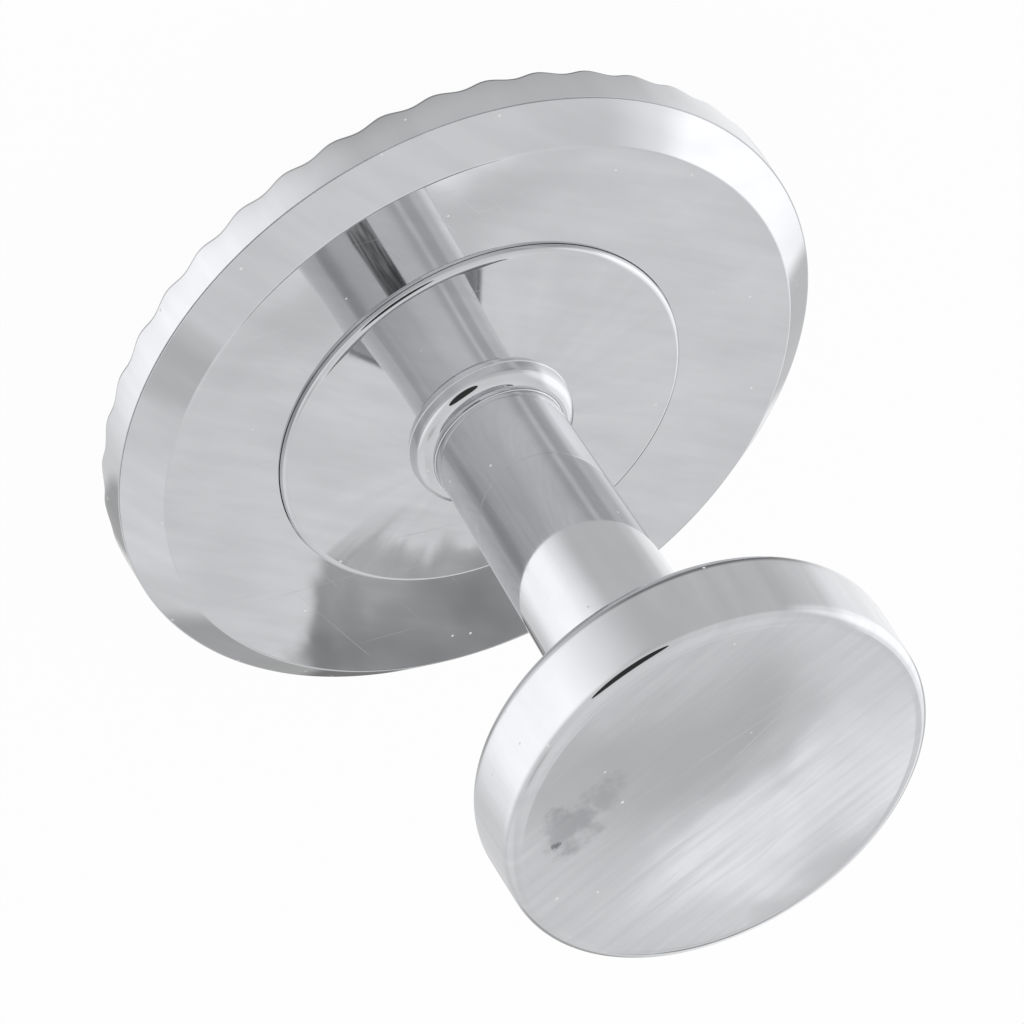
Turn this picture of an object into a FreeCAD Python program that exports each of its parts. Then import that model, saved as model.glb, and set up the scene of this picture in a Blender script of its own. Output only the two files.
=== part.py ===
import FreeCAD
import Part
import Sketcher
import os

# Fixed-back cufflink in polished white metal, in millimetres.
# The head lies face down on Z = 0, and the post stands on its back along +Z with the button on top.

# Driving dimensions: alias, value and what it measures.
SIZES = (
    ("head_radius", 9.0, "outside of the head's wall"),
    ("wall_height", 1.0, "smooth band between the flutes and the chamfer"),
    ("chamfer_width", 0.85, "chamfer round the back, across the axis"),
    ("chamfer_depth", 0.81, "chamfer round the back, along the axis"),
    ("slope_width", 2.2, "fluted slope of the bezel, across the axis"),
    ("slope_height", 1.5, "fluted slope of the bezel, along the axis"),
    ("flute_count", 42, "flutes round the bezel"),
    ("flute_depth", 0.1, "depth of a flute, square to the slope"),
    ("flute_land", 0.12, "plain ridge between two flutes at the outer edge"),
    ("land_width", 0.7, "flat front ring of the bezel, which the head rests on"),
    ("lip_depth", 0.4, "depth of the face behind the front ring"),
    ("face_lap", 0.5, "edge of the face held behind the lip"),
    ("face_thickness", 0.6, "thickness of the face"),
    ("bezel_wall", 0.8, "thickness of the bezel's wall round the case back"),
    ("shoulder_lift", 0.1, "inner shoulder of the bezel above its slope"),
    ("register_gap", 0.05, "end gap between the case back's register and the shoulder"),
    ("spacer_width", 1.2, "radial width of the spacer ring"),
    ("seam_inset", 0.2, "seam round the post's flange, inside the edge of the button that covers it"),
    ("seam_gap", 0.01, "radial gap in the seam"),
    ("flange_seat", 0.6, "depth of the post's flange in the case back"),
    ("edge_lift", 0.2, "flange's edge above the flat back"),
    ("edge_round", 0.12, "rounding of the flange's edge"),
    ("flange_rise", 0.38, "rise of the flange's cone from its edge to the collar"),
    ("collar_width", 0.42, "collar at the foot of the post, beyond the post"),
    ("collar_height", 0.57, "collar above the flange's cone"),
    ("collar_round", 0.4, "rounding of the collar's upper edge"),
    ("web_thickness", 0.6, "metal of the case back under the flange"),
    ("post_base_radius", 1.66, "post where it leaves the collar"),
    ("post_top_radius", 1.94, "post where it meets the button"),
    ("post_length", 11.3, "clear gap for the cuff, from the flat back to the button"),
    ("button_radius", 5.4, "outside of the button"),
    ("button_thickness", 2.33, "thickness of the button"),
    ("button_back_round", 0.5, "rounding of the button's edge on the cuff side"),
    ("button_front_round", 0.32, "rounding of the button's outer edge"),
    ("screw_radius", 0.98, "post screw's shank"),
    ("screw_reach", 3.4, "post screw's shank inside the post"),
    ("screw_head_radius", 1.9, "post screw's head"),
    ("screw_head_gap", 0.41, "free space between the screw's head and the face"),
    ("slot_width", 0.4, "driver slot of the post screw, across"),
    ("slot_depth", 0.3, "driver slot of the post screw, deep"),
    ("stud_radius", 0.98, "stud between the post and the button"),
    ("stud_post_reach", 3.0, "stud inside the post"),
    ("stud_button_reach", 1.5, "stud inside the button"),
    ("hole_end_gap", 0.1, "free depth past the end of a screw, stud or pin"),
    ("pin_radius", 0.4, "locating pin"),
    ("pin_inset", 1.59, "locating pin's axis inside the flange's edge"),
    ("pin_reach", 0.4, "locating pin inside the flange"),
    ("fit_gap", 0.02, "radial clearance of pieces that fit in one another"),
)

# Places and sizes that follow from the driving dimensions.
DERIVED = (
    ("seat_z", "slope_height + wall_height"),
    ("back_z", "seat_z + chamfer_depth"),
    ("flat_radius", "head_radius - chamfer_width"),
    ("land_radius", "head_radius - slope_width"),
    ("lip_radius", "land_radius - land_width"),
    ("face_radius", "lip_radius + face_lap"),
    ("face_pocket_radius", "face_radius + fit_gap"),
    ("face_back_z", "lip_depth + face_thickness"),
    ("bore_radius", "head_radius - bezel_wall"),
    ("shoulder_z", "slope_height + shoulder_lift"),
    ("register_z", "shoulder_z + register_gap"),
    ("register_radius", "bore_radius - fit_gap"),
    ("cavity_radius", "face_radius - spacer_width"),
    ("seam_radius", "button_radius - seam_inset"),
    ("flange_z", "back_z - flange_seat"),
    ("flange_radius", "seam_radius - seam_gap"),
    ("flange_edge_z", "back_z + edge_lift"),
    ("cone_top_z", "flange_edge_z + flange_rise"),
    ("collar_radius", "post_base_radius + collar_width"),
    ("collar_z", "cone_top_z + collar_height"),
    # The rounding leaves a trace of the collar's flat top and side.
    ("collar_fillet", "min(collar_round; 0.96 * collar_width; 0.96 * collar_height)"),
    ("web_z", "flange_z - web_thickness"),
    ("button_z", "back_z + post_length"),
    ("top_z", "button_z + button_thickness"),
    ("screw_hole_radius", "screw_radius + fit_gap"),
    ("screw_end_z", "flange_z + screw_reach"),
    ("screw_hole_end_z", "screw_end_z + hole_end_gap"),
    ("screw_head_z", "face_back_z + screw_head_gap"),
    ("stud_hole_radius", "stud_radius + fit_gap"),
    ("stud_low_z", "button_z - stud_post_reach"),
    ("stud_high_z", "button_z + stud_button_reach"),
    ("stud_hole_low_z", "stud_low_z - hole_end_gap"),
    ("stud_hole_high_z", "stud_high_z + hole_end_gap"),
    ("pin_circle_radius", "flange_radius - pin_inset"),
    ("pin_hole_radius", "pin_radius + fit_gap"),
    ("pin_hole_depth", "pin_reach + hole_end_gap"),
    ("pin_end_z", "flange_z + pin_reach"),
    ("slope_angle", "atan2(slope_height; slope_width)"),
    ("slope_length", "sqrt(slope_width ^ 2 + slope_height ^ 2)"),
    ("flute_half_width", "head_radius * tan(180 / flute_count) - flute_land / 2"),
    # The flute cutter is three flutes deep: one in the metal and two clear of the slope.
    ("cutter_clear", "2 * flute_depth"),
    ("cutter_depth", "3 * flute_depth"),
    ("cutter_half_width", "3 * flute_half_width"),
    ("cutter_start_radius", "head_radius + cutter_clear * sin(slope_angle) + flute_depth * cos(slope_angle)"),
    ("cutter_start_z", "slope_height - cutter_clear * cos(slope_angle) + flute_depth * sin(slope_angle)"),
    ("cutter_length", "slope_length + 4 * flute_depth"),
)

doc = FreeCAD.newDocument("Cufflink")
sheet = doc.addObject("Spreadsheet::Sheet", "Sizes")


def fill_sheet():
    rows = [(note, str(value), alias) for alias, value, note in SIZES]
    rows += [(alias.replace("_", " "), f"={formula}", alias) for alias, formula in DERIVED]
    for row, (note, content, alias) in enumerate(rows, start=1):
        sheet.set(f"A{row}", note)
        sheet.set(f"B{row}", content)
        sheet.setAlias(f"B{row}", alias)
    doc.recompute()


def size(alias):
    value = sheet.get(alias)
    return float(getattr(value, "Value", value))


def bind(thing, path, alias):
    thing.setExpression(path, f"Sizes.{alias}")


def new_body(label):
    body = doc.addObject("PartDesign::Body", label)
    body.Label = label
    return body


def origin_feature(body, role):
    for feature in body.Origin.OriginFeatures:
        if feature.Role == role:
            return feature
    raise LookupError(role)


def new_sketch(body, name, plane):
    sketch = body.newObject("Sketcher::SketchObject", name)
    sketch.AttachmentSupport = [(origin_feature(body, plane), "")]
    sketch.MapMode = "FlatFace"
    return sketch


def dimension(sketch, kind, alias, *places):
    # A dimension of the sketch that follows a cell of the sheet.
    index = sketch.addConstraint(Sketcher.Constraint(kind, *places, size(alias)))
    name = f"{alias}_{index}"
    sketch.renameConstraint(index, name)
    bind(sketch, f"Constraints.{name}", alias)


def closed_lines(sketch, spots):
    count = len(spots)
    for index in range(count):
        sketch.addGeometry(Part.LineSegment(spots[index], spots[(index + 1) % count]), False)
    for index in range(count):
        sketch.addConstraint(Sketcher.Constraint("Coincident", index, 2, (index + 1) % count, 1))


def turned(body, *corners):
    # A closed profile turned about the Z axis. Each corner is a radius and a height, None on an axis.
    sketch = new_sketch(body, f"{body.Label}_profile", "XZ_Plane")
    spots = [FreeCAD.Vector(*(size(alias) if alias else 0 for alias in corner), 0) for corner in corners]
    closed_lines(sketch, spots)
    for edge, (radius, height) in enumerate(corners):
        if radius:
            dimension(sketch, "DistanceX", radius, -1, 1, edge, 1)
        else:
            sketch.addConstraint(Sketcher.Constraint("PointOnObject", edge, 1, -2))
        if height:
            dimension(sketch, "DistanceY", height, -1, 1, edge, 1)
        else:
            sketch.addConstraint(Sketcher.Constraint("PointOnObject", edge, 1, -1))
    turn = body.newObject("PartDesign::Revolution", f"{body.Label}_turned")
    turn.Profile = sketch
    turn.ReferenceAxis = (sketch, ["V_Axis"])
    turn.Angle = 360
    doc.recompute()
    return turn


def round_edge(body, base, radius, height, fillet_size):
    # Rounds the circular edge at this radius and height.
    for index, edge in enumerate(base.Shape.Edges, start=1):
        if not isinstance(edge.Curve, Part.Circle):
            continue
        off_radius = abs(edge.Curve.Radius - size(radius))
        off_height = abs(edge.Curve.Center.z - size(height))
        if max(off_radius, off_height) < 1e-6:
            break
    else:
        raise LookupError(f"{body.Label} has no edge for {fillet_size}")
    fillet = body.newObject("PartDesign::Fillet", fillet_size)
    fillet.Base = (base, [f"Edge{index}"])
    bind(fillet, "Radius", fillet_size)
    doc.recompute()
    return fillet


def pocket(body, base, sketch, length, upwards):
    # Cuts from the sketch, and makes sure that metal was taken away.
    cut = body.newObject("PartDesign::Pocket", f"{sketch.Label}_cut")
    cut.Profile = sketch
    cut.Reversed = upwards
    bind(cut, "Length", length)
    doc.recompute()
    if cut.Shape.Volume >= base.Shape.Volume:
        raise ValueError(f"{cut.Label} cuts nothing")
    return cut


def pin_hole(body, base, height, depth):
    # A blind hole for the locating pin, upwards from this height.
    sketch = new_sketch(body, f"{body.Label}_pin_hole", "XY_Plane")
    bind(sketch, "AttachmentOffset.Base.z", height)
    spot = FreeCAD.Vector(size("pin_circle_radius"), 0, 0)
    sketch.addGeometry(Part.Circle(spot, FreeCAD.Vector(0, 0, 1), size("pin_hole_radius")), False)
    sketch.addConstraint(Sketcher.Constraint("PointOnObject", 0, 3, -1))
    dimension(sketch, "DistanceX", "pin_circle_radius", -1, 1, 0, 3)
    dimension(sketch, "Radius", "pin_hole_radius", 0)
    return pocket(body, base, sketch, depth, True)


def make_fluted_bezel():
    body = new_body("fluted_bezel")
    ring = turned(
        body,
        ("lip_radius", None),
        ("land_radius", None),
        ("head_radius", "slope_height"),
        ("head_radius", "seat_z"),
        ("bore_radius", "seat_z"),
        ("bore_radius", "shoulder_z"),
        ("face_pocket_radius", "shoulder_z"),
        ("face_pocket_radius", "lip_depth"),
        ("lip_radius", "lip_depth"),
    )
    # The flute is a triangle square to the slope, with its point one flute depth under the surface.
    sketch = new_sketch(body, "flute", "YZ_Plane")
    tilt = FreeCAD.Rotation(FreeCAD.Vector(-1, 0, 0), size("slope_angle"))
    sketch.AttachmentOffset = FreeCAD.Placement(FreeCAD.Vector(), tilt)
    bind(sketch, "AttachmentOffset.Rotation.Angle", "slope_angle")
    bind(sketch, "AttachmentOffset.Base.y", "cutter_start_z")
    bind(sketch, "AttachmentOffset.Base.z", "cutter_start_radius")
    left = FreeCAD.Vector(-size("cutter_half_width"), 0, 0)
    point = FreeCAD.Vector(0, size("cutter_depth"), 0)
    closed_lines(sketch, [left, -left, point])
    sketch.addConstraint(Sketcher.Constraint("Symmetric", 0, 1, 0, 2, -1, 1))
    sketch.addConstraint(Sketcher.Constraint("PointOnObject", 0, 1, -1))
    sketch.addConstraint(Sketcher.Constraint("PointOnObject", 2, 1, -2))
    dimension(sketch, "DistanceX", "cutter_half_width", -1, 1, 0, 2)
    dimension(sketch, "DistanceY", "cutter_depth", -1, 1, 2, 1)
    flutes = body.newObject("PartDesign::PolarPattern", "flutes")
    flutes.Originals = [pocket(body, ring, sketch, "cutter_length", False)]
    flutes.Axis = (origin_feature(body, "Z_Axis"), [""])
    flutes.Angle = 360
    bind(flutes, "Occurrences", "flute_count")
    body.Tip = flutes
    return body


def make_face_disc():
    body = new_body("face_disc")
    turned(
        body,
        (None, "lip_depth"),
        ("face_radius", "lip_depth"),
        ("face_radius", "face_back_z"),
        (None, "face_back_z"),
    )
    return body


def make_spacer_ring():
    body = new_body("spacer_ring")
    turned(
        body,
        ("cavity_radius", "face_back_z"),
        ("face_radius", "face_back_z"),
        ("face_radius", "register_z"),
        ("cavity_radius", "register_z"),
    )
    return body


def make_case_back():
    body = new_body("case_back")
    plate = turned(
        body,
        ("screw_hole_radius", "web_z"),
        ("cavity_radius", "web_z"),
        ("cavity_radius", "register_z"),
        ("register_radius", "register_z"),
        ("register_radius", "seat_z"),
        ("head_radius", "seat_z"),
        ("flat_radius", "back_z"),
        ("seam_radius", "back_z"),
        ("seam_radius", "flange_z"),
        ("screw_hole_radius", "flange_z"),
    )
    pin_hole(body, plate, "web_z", "web_thickness")
    return body


def make_post():
    body = new_body("post")
    shaft = turned(
        body,
        ("screw_hole_radius", "flange_z"),
        ("flange_radius", "flange_z"),
        ("flange_radius", "flange_edge_z"),
        ("collar_radius", "cone_top_z"),
        ("collar_radius", "collar_z"),
        ("post_base_radius", "collar_z"),
        ("post_top_radius", "button_z"),
        ("stud_hole_radius", "button_z"),
        ("stud_hole_radius", "stud_hole_low_z"),
        (None, "stud_hole_low_z"),
        (None, "screw_hole_end_z"),
        ("screw_hole_radius", "screw_hole_end_z"),
    )
    soft_edge = round_edge(body, shaft, "flange_radius", "flange_edge_z", "edge_round")
    soft_collar = round_edge(body, soft_edge, "collar_radius", "collar_z", "collar_fillet")
    pin_hole(body, soft_collar, "flange_z", "pin_hole_depth")
    return body


def make_post_screw():
    body = new_body("post_screw")
    blank = turned(
        body,
        (None, "screw_head_z"),
        ("screw_head_radius", "screw_head_z"),
        ("screw_head_radius", "web_z"),
        ("screw_radius", "web_z"),
        ("screw_radius", "screw_end_z"),
        (None, "screw_end_z"),
    )
    slot = new_sketch(body, "screw_slot", "XY_Plane")
    bind(slot, "AttachmentOffset.Base.z", "screw_head_z")
    corner = FreeCAD.Vector(-size("screw_head_radius"), -size("slot_width") / 2, 0)
    far = FreeCAD.Vector(-corner.x, corner.y, 0)
    closed_lines(slot, [corner, far, -corner, -far])
    for edge, kind in enumerate(("Horizontal", "Vertical", "Horizontal", "Vertical")):
        slot.addConstraint(Sketcher.Constraint(kind, edge))
    slot.addConstraint(Sketcher.Constraint("Symmetric", 0, 1, 2, 1, -1, 1))
    dimension(slot, "DistanceX", "screw_head_radius", -1, 1, 0, 2)
    dimension(slot, "DistanceY", "slot_width", 1, 1, 1, 2)
    pocket(body, blank, slot, "slot_depth", True)
    return body


def make_button():
    body = new_body("button")
    disc = turned(
        body,
        ("stud_hole_radius", "button_z"),
        ("button_radius", "button_z"),
        ("button_radius", "top_z"),
        (None, "top_z"),
        (None, "stud_hole_high_z"),
        ("stud_hole_radius", "stud_hole_high_z"),
    )
    soft_back = round_edge(body, disc, "button_radius", "button_z", "button_back_round")
    round_edge(body, soft_back, "button_radius", "top_z", "button_front_round")
    return body


def make_rod(label, radius, low, high, across=None):
    # A plain round rod between two heights, on the axis or a distance across from it.
    piece = doc.addObject("Part::Cylinder", label)
    piece.Label = label
    bind(piece, "Radius", radius)
    piece.setExpression("Height", f"Sizes.{high} - Sizes.{low}")
    bind(piece, "Placement.Base.z", low)
    if across:
        bind(piece, "Placement.Base.x", across)
    return piece


def check_and_write(pieces):
    doc.recompute()
    for thing in doc.Objects:
        if "Invalid" in thing.State or "Error" in thing.State:
            raise RuntimeError(f"{thing.Label} failed: {thing.State}")
    for piece in pieces:
        shape = piece.Shape
        if shape.isNull() or not shape.isValid() or len(shape.Solids) != 1:
            raise RuntimeError(f"{piece.Label} is not one sound solid")
    os.makedirs("parts", exist_ok=True)
    for piece in pieces:
        piece.Shape.exportStep(f"parts/{piece.Label}.step")
        print(f"{piece.Label}: {piece.Shape.Volume:.2f} cubic millimetres")


fill_sheet()
check_and_write([
    make_face_disc(),
    make_spacer_ring(),
    make_case_back(),
    make_post(),
    make_post_screw(),
    make_rod("locating_pin", "pin_radius", "web_z", "pin_end_z", "pin_circle_radius"),
    make_button(),
    make_rod("button_stud", "stud_radius", "stud_low_z", "stud_high_z"),
    make_fluted_bezel(),
])
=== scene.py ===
import math

import bmesh
import bpy
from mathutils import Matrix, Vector


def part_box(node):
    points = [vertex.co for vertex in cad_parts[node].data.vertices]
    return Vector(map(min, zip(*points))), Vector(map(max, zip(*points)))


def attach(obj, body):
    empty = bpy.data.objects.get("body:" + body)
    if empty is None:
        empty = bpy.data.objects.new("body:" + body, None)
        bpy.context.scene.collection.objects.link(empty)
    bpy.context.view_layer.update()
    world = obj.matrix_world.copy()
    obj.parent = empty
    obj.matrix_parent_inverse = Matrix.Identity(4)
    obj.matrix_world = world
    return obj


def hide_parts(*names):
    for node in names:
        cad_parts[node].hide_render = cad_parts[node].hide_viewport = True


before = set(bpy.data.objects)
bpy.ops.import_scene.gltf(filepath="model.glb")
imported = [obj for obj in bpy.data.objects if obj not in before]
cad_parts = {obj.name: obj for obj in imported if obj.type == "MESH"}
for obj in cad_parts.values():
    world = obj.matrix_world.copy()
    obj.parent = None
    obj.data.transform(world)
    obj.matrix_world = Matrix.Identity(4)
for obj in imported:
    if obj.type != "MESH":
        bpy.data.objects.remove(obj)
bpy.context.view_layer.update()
mm = 0.001
print("frame loaded:", ", ".join(sorted(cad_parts)))


# The photograph's camera. It looks down on the head's back, rolled until the post runs to the lower right.
cameraView = {
    "azimuth": -87.2,       # degrees round the post, where a flute's valley starts at 0
    "elevation": 39.967,    # degrees above the floor
    "roll": 147.542,
    "distance": 380.9,      # mm from the point that it looks at
    "aimHeight": 6.462,     # mm up the post
    "aimAside": 0.618,      # mm to the level right
    "lens": 566.45,
    "sensor": 36.0,
    "clip": (0.01, 5.0),    # m
}


def aimVectors(azimuth, elevation):
    a = math.radians(azimuth)
    e = math.radians(elevation)
    back = Vector((math.cos(a) * math.cos(e), math.sin(a) * math.cos(e), math.sin(e)))
    levelRight = Vector((-math.sin(a), math.cos(a), 0))
    return back, levelRight


def makeCamera():
    back, levelRight = aimVectors(cameraView["azimuth"], cameraView["elevation"])
    levelUp = back.cross(levelRight)
    r = math.radians(cameraView["roll"])
    right = levelRight * math.cos(r) + levelUp * math.sin(r)
    up = back.cross(right)
    target = Vector((0, 0, cameraView["aimHeight"] * mm)) + levelRight * (cameraView["aimAside"] * mm)
    camera = bpy.data.objects.new("photoCamera", bpy.data.cameras.new("photoCamera"))
    camera.data.lens = cameraView["lens"]
    camera.data.sensor_width = cameraView["sensor"]
    camera.data.clip_start, camera.data.clip_end = cameraView["clip"]
    place = camera.matrix_world.copy()
    for axis, vector in enumerate((right, up, back)):
        for row in range(3):
            place[row][axis] = vector[row]
    place.translation = target + back * (cameraView["distance"] * mm)
    camera.matrix_world = place
    bpy.context.scene.collection.objects.link(camera)
    bpy.context.scene.camera = camera


makeCamera()
bpy.context.scene.view_settings.view_transform = "Standard"
print("camera set")


# Materials
def linear(hexColour):
    channels = []
    for start in (1, 3, 5):
        value = int(hexColour[start:start + 2], 16) / 255
        channels.append(value / 12.92 if value <= 0.04045 else ((value + 0.055) / 1.055) ** 2.4)
    return (*channels, 1.0)


def addNode(tree, kind, inputs=(), **settings):
    node = tree.nodes.new(kind)
    for name, value in settings.items():
        setattr(node, name, value)
    for socket, value in dict(inputs).items():
        if isinstance(value, bpy.types.NodeSocket):
            tree.links.new(value, node.inputs[socket])
        else:
            node.inputs[socket].default_value = value
    return node


def perMetre(featureMm):
    return 1 / (featureMm * mm)


noiseSpan = (0.3, 0.7)    # most values of a noise lie between these


def newMaterial(name):
    material = bpy.data.materials.new(name)
    material.use_nodes = True
    material.node_tree.nodes.clear()
    return material, material.node_tree


def wipedStreaks(tree, place, size, turn):
    # Noise drawn out along one direction: size is its width and its length in mm.
    across, along = size
    drawn = addNode(tree, "ShaderNodeMapping", {
        "Vector": place,
        "Location": (turn * mm, 0, 0),
        "Rotation": (0, 0, math.radians(turn)),
        "Scale": (across * mm, along * mm, along * mm),
    }, vector_type="TEXTURE")
    return addNode(tree, "ShaderNodeTexNoise", {
        "Vector": drawn.outputs[0],
        "Scale": 1.0,
        "Detail": 2.0,
    }).outputs[0]


headPolish = {
    "pale": "#E3E4E6",
    "dull": "#DBDCDE",
    "film": 4.5,              # mm across a patch of polishing film
    "haze": (0.8, 1.2),       # film and smear together, where the surface is clear and where it is dull
    "smear": (0.5, 3.5),      # mm across and along a wiped smear
    "smearTurn": 38,          # degrees
    "hairline": (0.05, 4.5),  # mm; real ones are about 0.005 mm wide, too fine to show, so drawn coarser
    "hairTurns": (14, 67),    # degrees
    "hairShare": (0.69, 0.74),  # values of the noise where a hairline starts and where it is full
    "hairDull": 0.12,         # roughness added in a hairline
    "smooth": 0.022,          # roughness where it is clear
    "worn": 0.05,             # and where it is dull
    "wave": 2.6,              # mm between the hollows that the polishing mop leaves
    "waveDepth": 0.0035,      # mm
    "dust": 0.85,             # mm between specks
    "dustRadius": 0.045,      # mm
    "dustCore": 0.6,          # share of a speck that is solid
    "dustColour": "#FBFBFA",
    "dustMetal": 0.1,         # how metallic a speck is
    # grey of the painted dark reflections, which are painted into the colour
    "paintedReflectionGrey": "#6E6F73",
    "ragged": 3.0,            # how far a painted reflection's outline strays, as a share of its radius
    "paintedReflectionReach": (1.2, 0.4),  # where a painted reflection starts and where it is full, as a share of its radius
    "paintedReflections": (),             # painted dark reflections: middle and radius in mm, and share of their grey
    # edges rubbed to a perfect shine: radius and height in mm, and how far the shine reaches
    "burnished": ((2.01, 4.28, 0.16), (5.16, 3.44, 0.1), (5.22, 3.3, 0.05)),
}
buttonPolish = dict(
    headPolish,
    smear=(0.25, 3.0),
    smearTurn=102,
    hairTurns=(94, 112),
    hairShare=(0.66, 0.74),
    hairDull=0.07,
    worn=0.085,
    wave=2.0,
    waveDepth=0.005,
    # painted reflections: dark grey patches on the button's face, where it mirrors a dark cloud
    paintedReflections=(
        (3.55, -1.59, 16.94, 0.8, 0.32),
        (2.45, -1.99, 16.94, 0.65, 0.2),
        (3.98, -1.3, 16.94, 0.14, 0.7),
    ),
    burnished=((5.35, 16.8, 0.14),),
)


def makeMirrorPolish(name, finish):
    # White metal polished on a mop: clear reflections, which film, smears, hairlines and dust soften. Where a
    # finish lists painted reflections, dark grey patches are painted into the colour at fixed places.
    material, tree = newMaterial(name)
    place = addNode(tree, "ShaderNodeTexCoord").outputs["Object"]
    film = addNode(tree, "ShaderNodeTexNoise", {
        "Vector": place,
        "Scale": perMetre(finish["film"]),
        "Detail": 4.0,
        "Roughness": 0.6,
    }).outputs[0]
    smear = wipedStreaks(tree, place, finish["smear"], finish["smearTurn"])
    haze = addNode(tree, "ShaderNodeMath", {0: film, 1: smear}, operation="ADD").outputs[0]
    haze = addNode(tree, "ShaderNodeMapRange", {
        "Value": haze,
        "From Min": finish["haze"][0],
        "From Max": finish["haze"][1],
    }).outputs[0]
    colour = addNode(tree, "ShaderNodeMix", {
        0: haze,
        6: linear(finish["pale"]),
        7: linear(finish["dull"]),
    }, data_type="RGBA").outputs[2]
    roughness = addNode(tree, "ShaderNodeMapRange", {
        "Value": haze,
        "To Min": finish["smooth"],
        "To Max": finish["worn"],
    }).outputs[0]
    for turn in finish["hairTurns"]:
        hair = wipedStreaks(tree, place, finish["hairline"], turn)
        hair = addNode(tree, "ShaderNodeMapRange", {
            "Value": hair,
            "From Min": finish["hairShare"][0],
            "From Max": finish["hairShare"][1],
            "To Max": finish["hairDull"],
        }).outputs[0]
        roughness = addNode(tree, "ShaderNodeMath", {0: roughness, 1: hair}, operation="ADD").outputs[0]
    # Painted reflection: each listed patch mixes a dark grey into the colour, with a ragged soft edge.
    for x, y, z, radius, share in finish["paintedReflections"]:
        middle = (x * mm, y * mm, z * mm)
        away = addNode(tree, "ShaderNodeVectorMath", {0: place, 1: middle}, operation="SUBTRACT").outputs[0]
        ragged = addNode(tree, "ShaderNodeTexNoise", {
            "Vector": place,
            "Scale": perMetre(radius),
            "Detail": 5.0,
            "Roughness": 0.65,
        }).outputs[1]
        ragged = addNode(tree, "ShaderNodeVectorMath", {
            0: ragged,
            1: (0.5, 0.5, 0.5),
        }, operation="SUBTRACT").outputs[0]
        away = addNode(tree, "ShaderNodeVectorMath", {
            0: ragged,
            1: (finish["ragged"] * radius * mm,) * 3,
            2: away,
        }, operation="MULTIPLY_ADD").outputs[0]
        away = addNode(tree, "ShaderNodeVectorMath", {0: away}, operation="LENGTH").outputs["Value"]
        paintedReflection = addNode(tree, "ShaderNodeMapRange", {
            "Value": away,
            "From Min": finish["paintedReflectionReach"][0] * radius * mm,
            "From Max": finish["paintedReflectionReach"][1] * radius * mm,
            "To Max": share,
        }, interpolation_type="SMOOTHSTEP").outputs[0]
        colour = addNode(tree, "ShaderNodeMix", {
            0: paintedReflection,
            6: colour,
            7: linear(finish["paintedReflectionGrey"]),
        }, data_type="RGBA").outputs[2]
    dust = addNode(tree, "ShaderNodeTexVoronoi", {"Vector": place, "Scale": perMetre(finish["dust"])})
    speck = addNode(tree, "ShaderNodeMapRange", {
        "Value": dust.outputs["Distance"],
        "From Min": finish["dustRadius"] / finish["dust"],
        "From Max": finish["dustCore"] * finish["dustRadius"] / finish["dust"],
    }).outputs[0]
    colour = addNode(tree, "ShaderNodeMix", {
        0: speck,
        6: colour,
        7: linear(finish["dustColour"]),
    }, data_type="RGBA").outputs[2]
    metallic = addNode(tree, "ShaderNodeMapRange", {
        "Value": speck,
        "To Min": 1.0,
        "To Max": finish["dustMetal"],
    }).outputs[0]
    roughness = addNode(tree, "ShaderNodeMath", {0: roughness, 1: speck}, operation="ADD").outputs[0]
    flat = addNode(tree, "ShaderNodeVectorMath", {0: place, 1: (1, 1, 0)}, operation="MULTIPLY").outputs[0]
    radius = addNode(tree, "ShaderNodeVectorMath", {0: flat}, operation="LENGTH").outputs["Value"]
    height = addNode(tree, "ShaderNodeSeparateXYZ", {0: place}).outputs["Z"]
    section = addNode(tree, "ShaderNodeCombineXYZ", {"X": radius, "Y": height}).outputs[0]
    for edgeRadius, edgeHeight, reach in finish["burnished"]:
        edge = (edgeRadius * mm, edgeHeight * mm, 0)
        away = addNode(tree, "ShaderNodeVectorMath", {0: section, 1: edge}, operation="DISTANCE")
        outside = addNode(tree, "ShaderNodeMath", {
            0: away.outputs["Value"],
            1: reach * mm,
        }, operation="GREATER_THAN").outputs[0]
        roughness = addNode(tree, "ShaderNodeMath", {
            0: roughness,
            1: outside,
        }, operation="MULTIPLY").outputs[0]
    wave = addNode(tree, "ShaderNodeTexNoise", {
        "Vector": place,
        "Scale": perMetre(finish["wave"]),
        "Detail": 1.0,
    }).outputs[0]
    hollow = addNode(tree, "ShaderNodeBump", {
        "Height": wave,
        "Strength": 1.0,
        "Distance": finish["waveDepth"] * mm,
    }).outputs[0]
    surface = addNode(tree, "ShaderNodeBsdfPrincipled", {
        "Base Color": colour,
        "Metallic": metallic,
        "Roughness": roughness,
        "Normal": hollow,
    })
    addNode(tree, "ShaderNodeOutputMaterial", {"Surface": surface.outputs["BSDF"]})
    return material


polishedHead = makeMirrorPolish("mirrorPolishedWhiteMetal", headPolish)
polishedButton = makeMirrorPolish("handledPolishedWhiteMetalPaintedReflections", buttonPolish)

satinFace = {
    "light": "#D9D9DC",
    "dark": "#C2C2C7",
    "lines": 260,           # real ones are about three times as many, too fine to show
    "roughness": (0.24, 0.4),
    "anisotropy": 0.6,
}


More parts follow.
